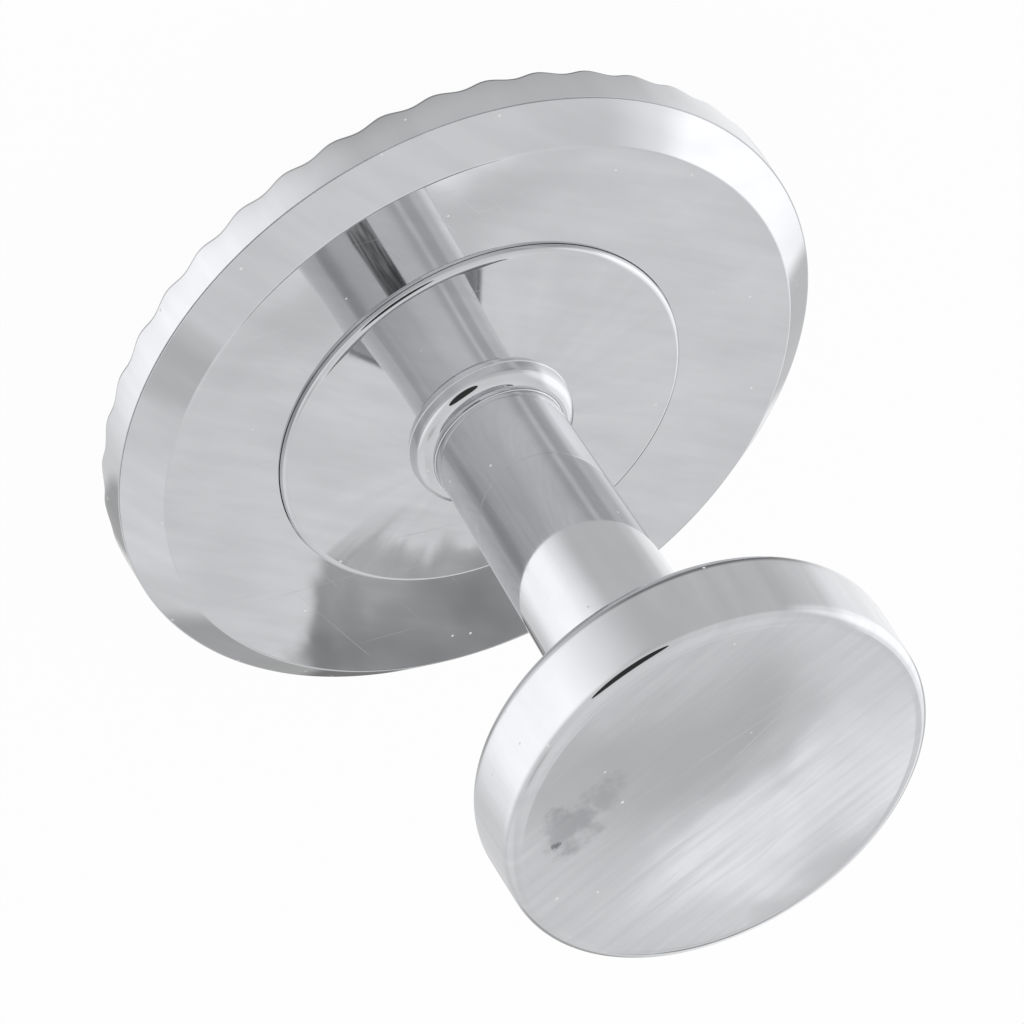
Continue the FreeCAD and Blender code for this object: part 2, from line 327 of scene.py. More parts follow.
def makeSatinSunburst():
    # Brushed white metal: fine lines run out from the centre, so the light fans round it.
    material, tree = newMaterial("satinSunburstMetal")
    place = addNode(tree, "ShaderNodeTexCoord").outputs["Object"]
    flat = addNode(tree, "ShaderNodeVectorMath", {0: place, 1: (1, 1, 0)}, operation="MULTIPLY").outputs[0]
    outward = addNode(tree, "ShaderNodeVectorMath", {0: flat}, operation="NORMALIZE").outputs[0]
    lines = addNode(tree, "ShaderNodeTexNoise", {
        "Vector": outward,
        "Scale": satinFace["lines"] / (2 * math.pi),
        "Detail": 3.0,
    }).outputs[0]
    colour = addNode(tree, "ShaderNodeMix", {
        0: lines,
        6: linear(satinFace["dark"]),
        7: linear(satinFace["light"]),
    }, data_type="RGBA").outputs[2]
    roughness = addNode(tree, "ShaderNodeMapRange", {
        "Value": lines,
        "From Min": noiseSpan[0],
        "From Max": noiseSpan[1],
        "To Min": satinFace["roughness"][0],
        "To Max": satinFace["roughness"][1],
    }).outputs[0]
    tangent = addNode(tree, "ShaderNodeTangent", direction_type="RADIAL", axis="Z").outputs[0]
    surface = addNode(tree, "ShaderNodeBsdfPrincipled", {
        "Base Color": colour,
        "Metallic": 1.0,
        "Roughness": roughness,
        "Anisotropic": satinFace["anisotropy"],
        "Tangent": tangent,
    })
    addNode(tree, "ShaderNodeOutputMaterial", {"Surface": surface.outputs["BSDF"]})
    return material


turnedFinish = {
    "brass": ("#D8B978", "#C09A55"),
    "steel": ("#C9CACC", "#A9ABAF"),
    "groove": 0.09,         # mm between tool marks, which really lie about 0.03 mm apart and wouldn't show
    "grooveDepth": 0.004,   # mm
    "grooveStrength": 0.6,
    "roughness": (0.2, 0.34),
}


def makeTurnedMetal(name, colours):
    # Metal as it leaves the lathe: fine rings from the tool, with a dull shine.
    material, tree = newMaterial(name)
    place = addNode(tree, "ShaderNodeTexCoord").outputs["Object"]
    axes = addNode(tree, "ShaderNodeSeparateXYZ", {0: place}).outputs
    flat = addNode(tree, "ShaderNodeVectorMath", {0: place, 1: (1, 1, 0)}, operation="MULTIPLY").outputs[0]
    radius = addNode(tree, "ShaderNodeVectorMath", {0: flat}, operation="LENGTH").outputs["Value"]
    along = addNode(tree, "ShaderNodeMath", {0: radius, 1: axes["Z"]}, operation="ADD").outputs[0]
    rings = addNode(tree, "ShaderNodeTexNoise", {
        "W": along,
        "Scale": perMetre(turnedFinish["groove"]),
        "Detail": 1.0,
    }, noise_dimensions="1D").outputs[0]
    colour = addNode(tree, "ShaderNodeMix", {
        0: rings,
        6: linear(colours[0]),
        7: linear(colours[1]),
    }, data_type="RGBA").outputs[2]
    roughness = addNode(tree, "ShaderNodeMapRange", {
        "Value": rings,
        "From Min": noiseSpan[0],
        "From Max": noiseSpan[1],
        "To Min": turnedFinish["roughness"][0],
        "To Max": turnedFinish["roughness"][1],
    }).outputs[0]
    groove = addNode(tree, "ShaderNodeBump", {
        "Height": rings,
        "Strength": turnedFinish["grooveStrength"],
        "Distance": turnedFinish["grooveDepth"] * mm,
    }).outputs[0]
    surface = addNode(tree, "ShaderNodeBsdfPrincipled", {
        "Base Color": colour,
        "Metallic": 1.0,
        "Roughness": roughness,
        "Normal": groove,
    })
    addNode(tree, "ShaderNodeOutputMaterial", {"Surface": surface.outputs["BSDF"]})
    return material


cadFinishes = {
    "face_disc": makeSatinSunburst(),
    "spacer_ring": makeTurnedMetal("turnedBrass", turnedFinish["brass"]),
}
turnedSteel = makeTurnedMetal("turnedSteel", turnedFinish["steel"])
for node in ("post_screw", "locating_pin", "button_stud"):
    cadFinishes[node] = turnedSteel
for node, finish in cadFinishes.items():
    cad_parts[node].data.materials.clear()
    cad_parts[node].data.materials.append(finish)
print("materials made")


# Turned pieces
turning = {
    "around": 256,       # columns round the axis
    "arcStep": 7.5,      # degrees between the points of a rounded corner
    "support": 0.25,     # rows kept beside a rounding, as a share of its radius, so that flats stay flat
    "sharpFrom": 25,     # degrees between two faces at a sharp edge
}


def roundedRow(corners):
    # Corners are a radius, a height and a rounding, in mm. Roundings become arcs between two straight runs.
    points = []
    count = len(corners)
    for index, (r, z, rounding) in enumerate(corners):
        here = Vector((r, z))
        if rounding == 0:
            points.append(here)
            continue
        before = (Vector(corners[index - 1][:2]) - here).normalized()
        after = (Vector(corners[(index + 1) % count][:2]) - here).normalized()
        half = before.angle(after) / 2
        reach = rounding / math.tan(half)
        centre = here + (before + after).normalized() * (rounding / math.sin(half))
        start = here + before * reach
        end = here + after * reach
        steps = max(3, round(math.degrees(math.pi - 2 * half) / turning["arcStep"]))
        points.append(start + before * rounding * turning["support"])
        for step in range(steps + 1):
            share = step / steps
            spoke = (start - centre).slerp(end - centre, share).normalized()
            points.append(centre + spoke * rounding)
        points.append(end + after * rounding * turning["support"])
    return points


def turnedPiece(name, corners, material):
    mesh = bmesh.new()
    rings = []
    for r, z in roundedRow(corners):
        if r == 0:
            rings.append([mesh.verts.new((0, 0, z * mm))])
            continue
        ring = []
        for column in range(turning["around"]):
            a = 2 * math.pi * column / turning["around"]
            ring.append(mesh.verts.new((r * mm * math.cos(a), r * mm * math.sin(a), z * mm)))
        rings.append(ring)
    for index, ring in enumerate(rings):
        following = rings[(index + 1) % len(rings)]
        if len(ring) == 1 and len(following) == 1:
            continue
        for column in range(turning["around"]):
            onward = (column + 1) % turning["around"]
            corner = [ring[column % len(ring)], ring[onward % len(ring)]]
            corner += [following[onward % len(following)], following[column % len(following)]]
            mesh.faces.new(list(dict.fromkeys(corner)))
    bmesh.ops.recalc_face_normals(mesh, faces=mesh.faces)
    return finishPiece(name, mesh, material)


def finishPiece(name, mesh, material):
    data = bpy.data.meshes.new(name)
    mesh.to_mesh(data)
    mesh.free()
    data.shade_smooth()
    data.set_sharp_from_angle(angle=math.radians(turning["sharpFrom"]))
    data.materials.append(material)
    piece = bpy.data.objects.new(name, data)
    bpy.context.scene.collection.objects.link(piece)
    return piece


def standFor(piece, node):
    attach(piece, "root")
    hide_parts(node)


# Sizes in mm, from the boxes of the solids
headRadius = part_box("fluted_bezel")[1].x / mm
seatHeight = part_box("fluted_bezel")[1].z / mm
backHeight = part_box("case_back")[1].z / mm
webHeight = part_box("case_back")[0].z / mm
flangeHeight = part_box("post")[0].z / mm
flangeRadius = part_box("post")[1].x / mm
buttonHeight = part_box("button")[0].z / mm
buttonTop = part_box("button")[1].z / mm
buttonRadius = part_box("button")[1].x / mm
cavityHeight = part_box("spacer_ring")[1].z / mm

caseBack = {               # mm
    "chamferWidth": 0.85,
    "seamGap": 0.01,
    "seamRound": 0.02,
    "edgeRound": 0.04,
    "wallGap": 0.82,       # the bezel's wall and the gap inside it
    "cavityRadius": 5.4,
    "boreRadius": 1.0,
}


def makeCaseBack():
    c = caseBack
    seam = flangeRadius + c["seamGap"]
    flat = headRadius - c["chamferWidth"]
    corners = [
        (c["boreRadius"], webHeight, 0),
        (c["cavityRadius"], webHeight, 0),
        (c["cavityRadius"], cavityHeight, 0),
        (headRadius - c["wallGap"], cavityHeight, 0),
        (headRadius - c["wallGap"], seatHeight, 0),
        (headRadius, seatHeight, c["edgeRound"] / 2),
        (flat, backHeight, c["edgeRound"] * 2),
        (seam, backHeight, c["seamRound"]),
        (seam, flangeHeight, 0),
        (c["boreRadius"], flangeHeight, 0),
    ]
    piece = turnedPiece("polishedCaseBack", corners, polishedHead)
    standFor(piece, "case_back")


makeCaseBack()

postShape = {              # mm
    "edgeLift": 0.2,       # the flange's edge stands proud of the back
    "edgeRound": 0.16,
    "dishEdge": 5.3,       # the flange's slope in degrees at its edge and at the collar
    "dishFoot": 8.7,
    "dishSteps": 12,
    "collarRadius": 2.08,
    "collarTop": 1.15,     # above the back
    "collarRound": 0.4,
    "cornerRound": 0.03,
    "footRadius": 1.66,
    "topRadius": 1.94,
    "boreRadius": 1.0,
    "studDepth": 3.1,
    "screwDepth": 3.5,
}


def dishedTop(share):
    # The flange's top is a shallow hollow that steepens towards the collar.
    p = postShape
    run = flangeRadius - p["collarRadius"]
    edgeSlope = math.tan(math.radians(p["dishEdge"]))
    footSlope = math.tan(math.radians(p["dishFoot"]))
    rise = run * (edgeSlope * share + (footSlope - edgeSlope) * share ** 2 / 2)
    return flangeRadius - run * share, backHeight + p["edgeLift"] + rise


def makePost():
    p = postShape
    corners = [
        (p["boreRadius"], flangeHeight, 0),
        (flangeRadius, flangeHeight, 0),
        (*dishedTop(0), p["edgeRound"]),
        *((*dishedTop(step / p["dishSteps"]), 0) for step in range(1, p["dishSteps"])),
        (*dishedTop(1), p["cornerRound"]),
        (p["collarRadius"], backHeight + p["collarTop"], p["collarRound"]),
        (p["footRadius"], backHeight + p["collarTop"], p["cornerRound"]),
        (p["topRadius"], buttonHeight, 0),
        (p["boreRadius"], buttonHeight, 0),
        (p["boreRadius"], buttonHeight - p["studDepth"], 0),
        (0, buttonHeight - p["studDepth"], 0),
        (0, flangeHeight + p["screwDepth"], 0),
        (p["boreRadius"], flangeHeight + p["screwDepth"], 0),
    ]
    piece = turnedPiece("polishedPost", corners, polishedHead)
    standFor(piece, "post")


makePost()

buttonShape = {            # mm
    "backRound": 0.5,      # on the cuff's side
    "frontRound": 0.32,
    "boreRadius": 1.0,
    "studDepth": 1.6,
}


def makeButton():
    b = buttonShape
    corners = [
        (b["boreRadius"], buttonHeight, 0),
        (buttonRadius, buttonHeight, b["backRound"]),
        (buttonRadius, buttonTop, b["frontRound"]),
        (0, buttonTop, 0),
        (0, buttonHeight + b["studDepth"], 0),
        (b["boreRadius"], buttonHeight + b["studDepth"], 0),
    ]
    piece = turnedPiece("polishedButton", corners, polishedButton)
    standFor(piece, "button")


makeButton()

bezelShape = {                # mm, apart from the counts
    "flutes": 42,
    "fluteDepth": 0.1,        # square to the slope
    "columns": 12,            # across one flute
    "slopeRows": 6,
    "landRadius": 6.8,
    "lipRadius": 6.1,
    "lipDepth": 0.4,
    "pocketRadius": 6.62,
    "slopeHeight": 1.5,
    "shoulder": 1.6,
    "boreRadius": 8.2,
    "edgeBreak": 0.06,
    "breakSteps": 4,
    "weld": 0.001,            # points nearer than this become one
}


def fluteDepth(radius, azimuth):
    # Worn flutes: a smooth wave from ridge to ridge.
    ridge = headRadius * math.tan(math.pi / bezelShape["flutes"])
    share = min(1.0, abs(radius * math.tan(azimuth)) / ridge)
    return bezelShape["fluteDepth"] * (1 + math.cos(math.pi * share)) / 2


def fluteRow(azimuth):
    b = bezelShape
    run = headRadius - b["landRadius"]
    slope = math.atan2(b["slopeHeight"], run)
    row = [Vector((b["lipRadius"], 0))]
    row.append(Vector((b["landRadius"] - fluteDepth(b["landRadius"], azimuth) / math.sin(slope), 0)))
    for step in range(1, b["slopeRows"] + 1):
        out = run * step / b["slopeRows"]
        r = b["landRadius"] + out
        row.append(Vector((r, out * math.tan(slope) + fluteDepth(r, azimuth) / math.cos(slope))))
    rim = row.pop()
    start = rim + (row[-1] - rim).normalized() * b["edgeBreak"]
    end = rim + Vector((0, b["edgeBreak"]))
    for step in range(b["breakSteps"] + 1):
        t = step / b["breakSteps"]
        row.append(start * (1 - t) ** 2 + rim * (2 * t * (1 - t)) + end * t ** 2)
    for r, z in (
        (headRadius, seatHeight),
        (b["boreRadius"], seatHeight),
        (b["boreRadius"], b["shoulder"]),
        (b["pocketRadius"], b["shoulder"]),
        (b["pocketRadius"], b["lipDepth"]),
        (b["lipRadius"], b["lipDepth"]),
    ):
        row.append(Vector((r, z)))
    return row


def makeFlute():
    b = bezelShape
    mesh = bmesh.new()
    columns = []
    for column in range(b["columns"] + 1):
        azimuth = (2 * column / b["columns"] - 1) * math.pi / b["flutes"]
        around = Vector((math.cos(azimuth), math.sin(azimuth)))
        points = [(r * mm * around.x, r * mm * around.y, z * mm) for r, z in fluteRow(azimuth)]
        columns.append([mesh.verts.new(point) for point in points])
    for here, onward in zip(columns, columns[1:]):
        for index in range(len(here)):
            mesh.faces.new((here[index - 1], here[index], onward[index], onward[index - 1]))
    data = bpy.data.meshes.new("oneFlute")
    mesh.to_mesh(data)
    mesh.free()
    return data


def makeFluteTree():
    tree = bpy.data.node_groups.new("flutesRoundTheBezel", "GeometryNodeTree")
    tree.interface.new_socket("Geometry", in_out="INPUT", socket_type="NodeSocketGeometry")
    tree.interface.new_socket("Flutes", in_out="INPUT", socket_type="NodeSocketInt")
    tree.interface.new_socket("Finish", in_out="INPUT", socket_type="NodeSocketMaterial")
    tree.interface.new_socket("Geometry", in_out="OUTPUT", socket_type="NodeSocketGeometry")
    given = addNode(tree, "NodeGroupInput").outputs
    spots = addNode(tree, "GeometryNodeMeshLine", {
        "Count": given["Flutes"],
        "Offset": (0, 0, 0),
    }, mode="OFFSET")
    index = addNode(tree, "GeometryNodeInputIndex").outputs[0]
    step = addNode(tree, "ShaderNodeMath", {
        0: 2 * math.pi,
        1: given["Flutes"],
    }, operation="DIVIDE").outputs[0]
    turn = addNode(tree, "ShaderNodeMath", {0: index, 1: step}, operation="MULTIPLY").outputs[0]
    turned = addNode(tree, "ShaderNodeCombineXYZ", {"Z": turn}).outputs[0]
    copies = addNode(tree, "GeometryNodeInstanceOnPoints", {
        "Points": spots.outputs[0],
        "Instance": given["Geometry"],
        "Rotation": turned,
    }).outputs[0]
    joined = addNode(tree, "GeometryNodeRealizeInstances", {"Geometry": copies}).outputs[0]
    painted = addNode(tree, "GeometryNodeSetMaterial", {
        "Geometry": joined,
        "Material": given["Finish"],
    }).outputs[0]
    addNode(tree, "NodeGroupOutput", {"Geometry": painted})
    return tree


def makeBezel():
    flute = bpy.data.objects.new("oneFlute", makeFlute())
    bpy.context.scene.collection.objects.link(flute)
    modifier = flute.modifiers.new("flutes", "NODES")
    modifier.node_group = makeFluteTree()
    wanted = {"Flutes": bezelShape["flutes"], "Finish": polishedHead}
    for item in modifier.node_group.interface.items_tree:
        if item.in_out == "INPUT" and item.name in wanted:
            modifier[item.identifier] = wanted[item.name]
    ready = flute.evaluated_get(bpy.context.evaluated_depsgraph_get())
    data = bpy.data.meshes.new_from_object(ready)
    flute.modifiers.remove(modifier)
    bpy.data.objects.remove(flute)
    mesh = bmesh.new()
    mesh.from_mesh(data)
    bpy.data.meshes.remove(data)
    bmesh.ops.remove_doubles(mesh, verts=mesh.verts, dist=bezelShape["weld"] * mm)
    bmesh.ops.recalc_face_normals(mesh, faces=mesh.faces)
    piece = finishPiece("flutedBezel", mesh, polishedHead)
    standFor(piece, "fluted_bezel")


makeBezel()
print("pieces made")


# Studio: a light tent painted on the world, a pale floor, and cards that only reflections show, some of them
# painted shade
tent = {
    "plain": 0.74,
    # bearing from the camera, elevation, full and faded width in degrees, and how much lighter than plain
    "panels": (
        (58, -36, 0, 56, 0.5),
        (-113, -3, 24, 45, 0.31),
        (-55, -45, 47, 66, -0.15),
        (-145, -2, 40, 51, 0.29),
        (0, 90, 20, 45, 0.06),
        (0, -90, 30, 47, -0.4),
        (0, -90, 0, 30, 0.25),
        (157, -13, 8, 18, -0.3),
        (174, -29, 4, 12, -0.45),
        (197, -20, 11, 17, -0.42),
        (77, 38, 3, 13, -0.16),
        (118, 15, 10, 24, 0.08),
    ),
    # seams and folds that show as stripes along the post: bearing from the camera, and share of the light
    "stripes": (
        (-180, 0.55), (-156, 0.55), (-150, 1.0), (-140, 1.0), (-120, 0.92), (-102, 0.97), (-93, 0.75),
        (-78, 0.74), (-74, 0.84), (-71, 1.0), (-67, 0.98), (-62, 0.78), (-56, 0.79), (-50, 0.9),
        (-42, 1.0), (-15, 0.99), (0, 0.94), (12, 0.86), (30, 0.83), (50, 0.78), (62, 0.73),
        (66, 0.78), (70, 0.76), (80, 0.68), (92, 0.67), (97, 0.82), (112, 0.84), (135, 0.9),
        (158, 0.95), (166, 0.6), (180, 0.55),
    ),
    "lens": (6, 27, 19, 20, -0.75),    # the dark lens that the photograph was taken with
    "darkest": 0.04,
    "colour": "#FEFEFF",
}


def tentPanel(tree, direction, bearing, elevation, full, faded, gain):
    towards, _ = aimVectors(cameraView["azimuth"] + bearing, elevation)
    nearness = addNode(tree, "ShaderNodeVectorMath", {0: direction, 1: towards}, operation="DOT_PRODUCT")
    panel = addNode(tree, "ShaderNodeMapRange", {
        "Value": nearness.outputs["Value"],
        "From Min": math.cos(math.radians(faded)),
        "From Max": math.cos(math.radians(full)),
        "To Max": gain,
    }, interpolation_type="SMOOTHSTEP")
    return panel.outputs["Result"]


def tentStripes(tree, direction):
    # Upright stripes, by bearing alone. The post and the plate show them to each other.
    ahead, levelRight = aimVectors(cameraView["azimuth"], 0)
    along = addNode(tree, "ShaderNodeVectorMath", {0: direction, 1: ahead}, operation="DOT_PRODUCT")
    aside = addNode(tree, "ShaderNodeVectorMath", {0: direction, 1: levelRight}, operation="DOT_PRODUCT")
    bearing = addNode(tree, "ShaderNodeMath", {
        0: aside.outputs["Value"],
        1: along.outputs["Value"],
    }, operation="ARCTAN2").outputs[0]
    place = addNode(tree, "ShaderNodeMapRange", {
        "Value": bearing,
        "From Min": -math.pi,
        "From Max": math.pi,
    }).outputs[0]
    ramp = addNode(tree, "ShaderNodeValToRGB", {"Fac": place})
    stops = ramp.color_ramp.elements
    for number, (degrees, share) in enumerate(tent["stripes"]):
        position = (degrees + 180) / 360
        stop = stops[0] if number == 0 else stops.new(position)
        stop.position = position
        stop.color = (share, share, share, 1)
    stops.remove(stops[-1])
    return ramp.outputs["Color"]


def makeTent():
    world = bpy.data.worlds.new("lightTent")
    bpy.context.scene.world = world
    world.use_nodes = True
    tree = world.node_tree
    tree.nodes.clear()
    direction = addNode(tree, "ShaderNodeTexCoord").outputs["Generated"]
    total = tent["plain"]
    for panel in tent["panels"]:
        lobe = tentPanel(tree, direction, *panel)
        total = addNode(tree, "ShaderNodeMath", {0: total, 1: lobe}, operation="ADD").outputs[0]
    rays = addNode(tree, "ShaderNodeLightPath").outputs
    depth = rays["Glossy Depth"]
    stripes = tentStripes(tree, direction)
    later = addNode(tree, "ShaderNodeMath", {0: depth, 1: 1.5}, operation="GREATER_THAN").outputs[0]
    stripes = addNode(tree, "ShaderNodeMix", {0: later, 2: 1.0, 3: stripes}, data_type="FLOAT").outputs[0]
    total = addNode(tree, "ShaderNodeMath", {0: total, 1: stripes}, operation="MULTIPLY").outputs[0]
    # The burnished edges alone are sharp enough to show the lens, and only in a first reflection.
    first = addNode(tree, "ShaderNodeMath", {0: depth, 1: 1.0, 2: 0.5}, operation="COMPARE").outputs[0]
    sharp = addNode(tree, "ShaderNodeMath", {
        0: first,
        1: rays["Is Singular Ray"],
    }, operation="MULTIPLY").outputs[0]
    total = addNode(tree, "ShaderNodeMath", {
        0: tentPanel(tree, direction, *tent["lens"]),
        1: sharp,
        2: total,
    }, operation="MULTIPLY_ADD").outputs[0]
    total = addNode(tree, "ShaderNodeMath", {0: total, 1: tent["darkest"]}, operation="MAXIMUM").outputs[0]
    light = addNode(tree, "ShaderNodeBackground", {"Color": linear(tent["colour"]), "Strength": total})
    addNode(tree, "ShaderNodeOutputWorld", {"Surface": light.outputs["Background"]})


makeTent()

floorPaper = {
    "half": 600.0,        # mm
    "colour": "#F4F4F4",
    "seenWhite": 0.96,    # share of plain white in what the camera sees, the rest is the shaded paper
}


def makeFloor():
    mesh = bmesh.new()
    half = floorPaper["half"] * mm
    corners = [mesh.verts.new((x * half, y * half, 0)) for x, y in ((-1, -1), (1, -1), (1, 1), (-1, 1))]
    mesh.faces.new(corners)
    material, tree = newMaterial("paleFloorPaper")
    paper = addNode(tree, "ShaderNodeBsdfDiffuse", {"Color": linear(floorPaper["colour"])}).outputs[0]
    white = addNode(tree, "ShaderNodeEmission", {"Color": linear("#FFFFFF"), "Strength": 1.0}).outputs[0]
    rays = addNode(tree, "ShaderNodeLightPath").outputs
    seen = rays["Is Camera Ray"]
    for kind in ("Is Glossy Ray", "Is Transmission Ray"):
        seen = addNode(tree, "ShaderNodeMath", {0: seen, 1: rays[kind]}, operation="ADD").outputs[0]
    share = addNode(tree, "ShaderNodeMath", {
        0: seen,
        1: floorPaper["seenWhite"],
    }, operation="MULTIPLY").outputs[0]
    lifted = addNode(tree, "ShaderNodeMixShader", {0: share, 1: paper, 2: white}).outputs[0]
    # From below the paper is clear, so that the front of the head can be looked at.
    under = addNode(tree, "ShaderNodeNewGeometry").outputs["Backfacing"]
    clear = addNode(tree, "ShaderNodeBsdfTransparent").outputs[0]
    sided = addNode(tree, "ShaderNodeMixShader", {0: under, 1: lifted, 2: clear}).outputs[0]
    addNode(tree, "ShaderNodeOutputMaterial", {"Surface": sided})
    floor = finishPiece("paleFloor", mesh, material)
    floor.visible_glossy = False    # metal mirrors the tent, which reaches under the floor's edge


makeFloor()


def hangCard(name, centre, across, upward, half, material):
    # A card beside the object, which only reflections show.
    mesh = bmesh.new()
    corners = []
    for x, y in ((-1, -1), (1, -1), (1, 1), (-1, 1)):
        corners.append(mesh.verts.new((centre + across * (x * half[0]) + upward * (y * half[1])) * mm))
    mesh.faces.new(corners)
    card = finishPiece(name, mesh, material)
    for ray in ("camera", "diffuse", "transmission", "volume_scatter", "shadow"):
        setattr(card, "visible_" + ray, False)


lensStrip = {
    "distance": 20.0,        # mm from the head towards the camera
    "rise": 4.5,
    "aside": 1.3,
    "half": (3.9, 1.6),
    "tones": (0.05, 0.3),    # at the lower and the upper edge
    "mottle": 0.7,           # mm
    "mottleSpan": (0.35, 0.65),
    "mottleShares": (0.4, 1.9),
}


def hangLensStrip():
    # The lens as the post's far side mirrors it, and the plate shows that again.
    material, tree = newMaterial("blackLensStrip")
    depth = addNode(tree, "ShaderNodeLightPath").outputs["Glossy Depth"]
    second = addNode(tree, "ShaderNodeMath", {0: depth, 1: 1.5}, operation="GREATER_THAN").outputs[0]
    clear = addNode(tree, "ShaderNodeBsdfTransparent").outputs[0]
    back, levelRight = aimVectors(cameraView["azimuth"], cameraView["elevation"])
    levelUp = back.cross(levelRight)
    place = addNode(tree, "ShaderNodeTexCoord").outputs["Object"]
    up = addNode(tree, "ShaderNodeVectorMath", {0: place, 1: levelUp / mm}, operation="DOT_PRODUCT")
    tone = addNode(tree, "ShaderNodeMapRange", {
        "Value": up.outputs["Value"],
        "From Min": lensStrip["rise"] - lensStrip["half"][1],
        "From Max": lensStrip["rise"] + lensStrip["half"][1],
        "To Min": lensStrip["tones"][0],
        "To Max": lensStrip["tones"][1],
    }).outputs[0]
    mottle = addNode(tree, "ShaderNodeTexNoise", {
        "Vector": place,
        "Scale": perMetre(lensStrip["mottle"]),
    }).outputs[0]
    mottle = addNode(tree, "ShaderNodeMapRange", {
        "Value": mottle,
        "From Min": lensStrip["mottleSpan"][0],
        "From Max": lensStrip["mottleSpan"][1],
        "To Min": lensStrip["mottleShares"][0],
        "To Max": lensStrip["mottleShares"][1],
    }).outputs[0]
    tone = addNode(tree, "ShaderNodeMath", {0: tone, 1: mottle}, operation="MULTIPLY").outputs[0]
    black = addNode(tree, "ShaderNodeEmission", {"Strength": tone}).outputs[0]
    shown = addNode(tree, "ShaderNodeMixShader", {0: second, 1: clear, 2: black}).outputs[0]
    addNode(tree, "ShaderNodeOutputMaterial", {"Surface": shown})
    centre = back * lensStrip["distance"] + levelUp * lensStrip["rise"] + levelRight * lensStrip["aside"]
    hangCard("lensStrip", centre, levelRight, levelUp, lensStrip["half"], material)


hangLensStrip()

tentCloth = {
    "distance": 65.0,        # mm from the head, where its flat faces mirror the camera
    "half": (26.0, 22.0),
    "rise": 4.0,
    "fade": 5.0,             # mm, from clear at the edge
    "plain": 0.76,
    "crumple": (2.2, 2.4),   # mm between folds, and how far they push the patches about
    "cloud": (3.0, 0.025),   # mm across, and how much it varies
    "mottleShares": (0.65, 1.35),
    # patches of cloth: middle across and down, half sizes, turn, softness and how much lighter than plain
    "patches": (
        (-3.4, 1.5, 4.8, 3.4, 0, 0.08, -0.4),
        (-6.7, 6.7, 8.0, 3.5, 45, 0.1, -0.3),
        (0.6, -13.2, 3.8, 1.6, 0, 0.8, -0.2),
        (-3.6, -14.4, 2.0, 1.0, 0, 0.8, -0.12),
        (1.5, -10.2, 4.4, 1.7, 0, 0.35, 0.2),
        (0, -7.7, 5.5, 0.8, 0, 0.5, -0.1),
        (4.6, -13.4, 1.6, 1.6, 0, 0.8, 0.1),
    ),
}


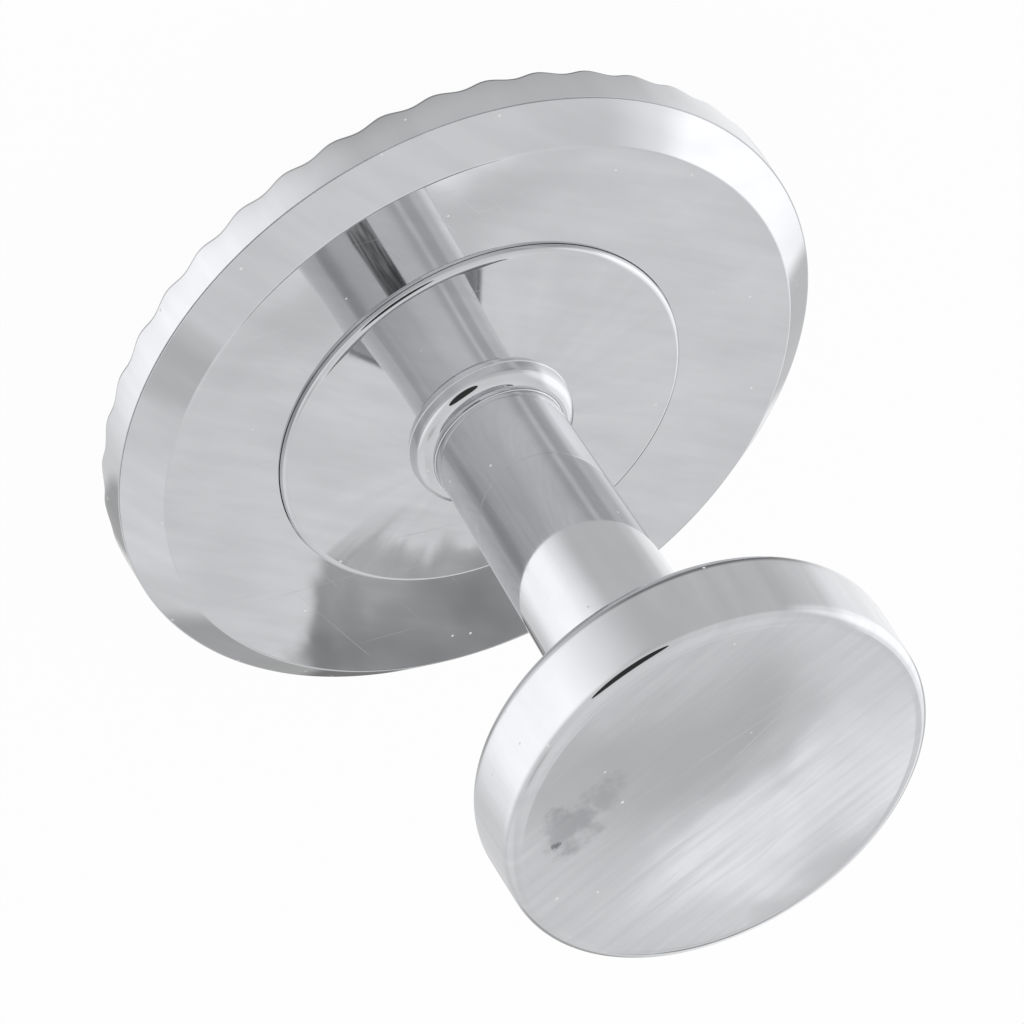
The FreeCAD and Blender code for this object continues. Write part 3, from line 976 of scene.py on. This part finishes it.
def hangTentCloth():
    # Crumpled tent cloth close by, so that flat polished faces aren't one even tone.
    c = tentCloth
    material, tree = newMaterial("crumpledTentCloth")
    back, levelRight = aimVectors(cameraView["azimuth"], cameraView["elevation"])
    mirrored = Vector((-back.x, -back.y, back.z))
    across = -levelRight
    down = across.cross(mirrored)
    place = addNode(tree, "ShaderNodeTexCoord").outputs["Object"]
    u = addNode(tree, "ShaderNodeVectorMath", {0: place, 1: across / mm}, operation="DOT_PRODUCT")
    v = addNode(tree, "ShaderNodeVectorMath", {0: place, 1: down / mm}, operation="DOT_PRODUCT")
    u = u.outputs["Value"]
    v = v.outputs["Value"]
    flat = addNode(tree, "ShaderNodeCombineXYZ", {"X": u, "Y": v}).outputs[0]
    folds = addNode(tree, "ShaderNodeTexNoise", {
        "Vector": flat,
        "Scale": 1 / c["crumple"][0],
        "Detail": 4.0,
    }).outputs[1]
    pushed = addNode(tree, "ShaderNodeVectorMath", {
        0: folds,
        1: (0.5, 0.5, 0.5),
    }, operation="SUBTRACT").outputs[0]
    pushed = addNode(tree, "ShaderNodeVectorMath", {
        0: pushed,
        1: (c["crumple"][1],) * 3,
        2: flat,
    }, operation="MULTIPLY_ADD").outputs[0]
    cloud = addNode(tree, "ShaderNodeTexNoise", {
        "Vector": pushed,
        "Scale": 1 / c["cloud"][0],
        "Detail": 5.0,
    }).outputs[0]
    tone = addNode(tree, "ShaderNodeMapRange", {
        "Value": cloud,
        "From Min": noiseSpan[0],
        "From Max": noiseSpan[1],
        "To Min": c["plain"] - c["cloud"][1],
        "To Max": c["plain"] + c["cloud"][1],
    }).outputs[0]
    mottle = addNode(tree, "ShaderNodeMapRange", {
        "Value": cloud,
        "From Min": noiseSpan[0],
        "From Max": noiseSpan[1],
        "To Min": c["mottleShares"][0],
        "To Max": c["mottleShares"][1],
    }).outputs[0]
    for middleU, middleV, halfU, halfV, turn, soft, gain in c["patches"]:
        apart = addNode(tree, "ShaderNodeMapping", {
            "Vector": pushed,
            "Location": (middleU, middleV, 0),
            "Rotation": (0, 0, math.radians(turn)),
            "Scale": (halfU, halfV, 1),
        }, vector_type="TEXTURE").outputs[0]
        apart = addNode(tree, "ShaderNodeVectorMath", {0: apart, 1: (1, 1, 0)}, operation="MULTIPLY")
        apart = addNode(tree, "ShaderNodeVectorMath", {0: apart.outputs[0]}, operation="LENGTH")
        patch = addNode(tree, "ShaderNodeMapRange", {
            "Value": apart.outputs["Value"],
            "From Min": 1 + soft,
            "From Max": 1 - soft,
            "To Max": gain,
        }, interpolation_type="SMOOTHSTEP").outputs[0]
        tone = addNode(tree, "ShaderNodeMath", {
            0: patch,
            1: mottle,
            2: tone,
        }, operation="MULTIPLY_ADD").outputs[0]
    share = 1.0
    for value, half, middle in ((u, c["half"][0], 0), (v, c["half"][1], -c["rise"])):
        off = addNode(tree, "ShaderNodeMath", {0: value, 1: middle}, operation="SUBTRACT").outputs[0]
        off = addNode(tree, "ShaderNodeMath", {0: off}, operation="ABSOLUTE").outputs[0]
        inside = addNode(tree, "ShaderNodeMapRange", {
            "Value": off,
            "From Min": half,
            "From Max": half - c["fade"],
        }, interpolation_type="SMOOTHSTEP").outputs[0]
        share = addNode(tree, "ShaderNodeMath", {0: share, 1: inside}, operation="MULTIPLY").outputs[0]
    clear = addNode(tree, "ShaderNodeBsdfTransparent").outputs[0]
    cloth = addNode(tree, "ShaderNodeEmission", {
        "Color": linear(tent["colour"]),
        "Strength": tone,
    }).outputs[0]
    shown = addNode(tree, "ShaderNodeMixShader", {0: share, 1: clear, 2: cloth}).outputs[0]
    addNode(tree, "ShaderNodeOutputMaterial", {"Surface": shown})
    centre = mirrored * c["distance"] - down * c["rise"]
    hangCard("tentCloth", centre, across, down, c["half"], material)


hangTentCloth()

paintedShadeSheets = {
    # painted shadow: dark sheets on the floor beside the head, seen only in reflections: middle, towards the
    # camera and to the level right, half sizes and tone
    "lying": ((0.3, 10.1, 2.4, 1.1, 0.42), (-11.0, 8.3, 3.2, 2.8, 0.42), (-10.8, 6.4, 2.2, 1.7, 0.2)),
    "layer": 0.05,    # mm from one lying sheet to the next above it
    # painted shade: a dark sheet that stands behind the head: distance, height of its middle, half sizes
    "standing": (20.0, 4.8, 12.0, 4.3),
    "standingTone": 0.22,
    "core": 0.55,    # share of a sheet that has its full tone
}


def paintedShadeOval(name, centre, axes, half, tone):
    # Painted shade: a dark oval with a soft edge, which only reflections show.
    material, tree = newMaterial(name)
    place = addNode(tree, "ShaderNodeTexCoord").outputs["Object"]
    across, upward = axes
    shares = []
    off = addNode(tree, "ShaderNodeVectorMath", {0: place, 1: centre * mm}, operation="SUBTRACT").outputs[0]
    for direction, reach in ((across, half[0]), (upward, half[1])):
        along = addNode(tree, "ShaderNodeVectorMath", {
            0: off,
            1: direction / (reach * mm),
        }, operation="DOT_PRODUCT")
        shares.append(along.outputs["Value"])
    apart = addNode(tree, "ShaderNodeCombineXYZ", {0: shares[0], 1: shares[1]}).outputs[0]
    apart = addNode(tree, "ShaderNodeVectorMath", {0: apart}, operation="LENGTH").outputs["Value"]
    share = addNode(tree, "ShaderNodeMapRange", {
        "Value": apart,
        "From Min": 1.0,
        "From Max": paintedShadeSheets["core"],
    }, interpolation_type="SMOOTHSTEP").outputs[0]
    clear = addNode(tree, "ShaderNodeBsdfTransparent").outputs[0]
    cloth = addNode(tree, "ShaderNodeEmission", {"Strength": tone}).outputs[0]
    shown = addNode(tree, "ShaderNodeMixShader", {0: share, 1: clear, 2: cloth}).outputs[0]
    addNode(tree, "ShaderNodeOutputMaterial", {"Surface": shown})
    hangCard(name, centre, across, upward, half, material)


# Painted shade: dark sheets on the floor and behind the head, which only reflections show.
def hangPaintedShade():
    f = paintedShadeSheets
    ahead, levelRight = aimVectors(cameraView["azimuth"], 0)
    up = Vector((0, 0, 1))
    for number, (near, aside, halfNear, halfAside, tone) in enumerate(f["lying"]):
        name = "paintedFloorShadow" + str(number + 1)
        centre = ahead * near + levelRight * aside + up * (number * f["layer"])
        half = (halfNear, halfAside)
        paintedShadeOval(name, centre, (ahead, levelRight), half, tone)
    distance, height, halfAside, halfUp = f["standing"]
    centre = up * height - ahead * distance
    paintedShadeOval("paintedBackShade", centre, (levelRight, up), (halfAside, halfUp), f["standingTone"])


hangPaintedShade()
print("studio set")
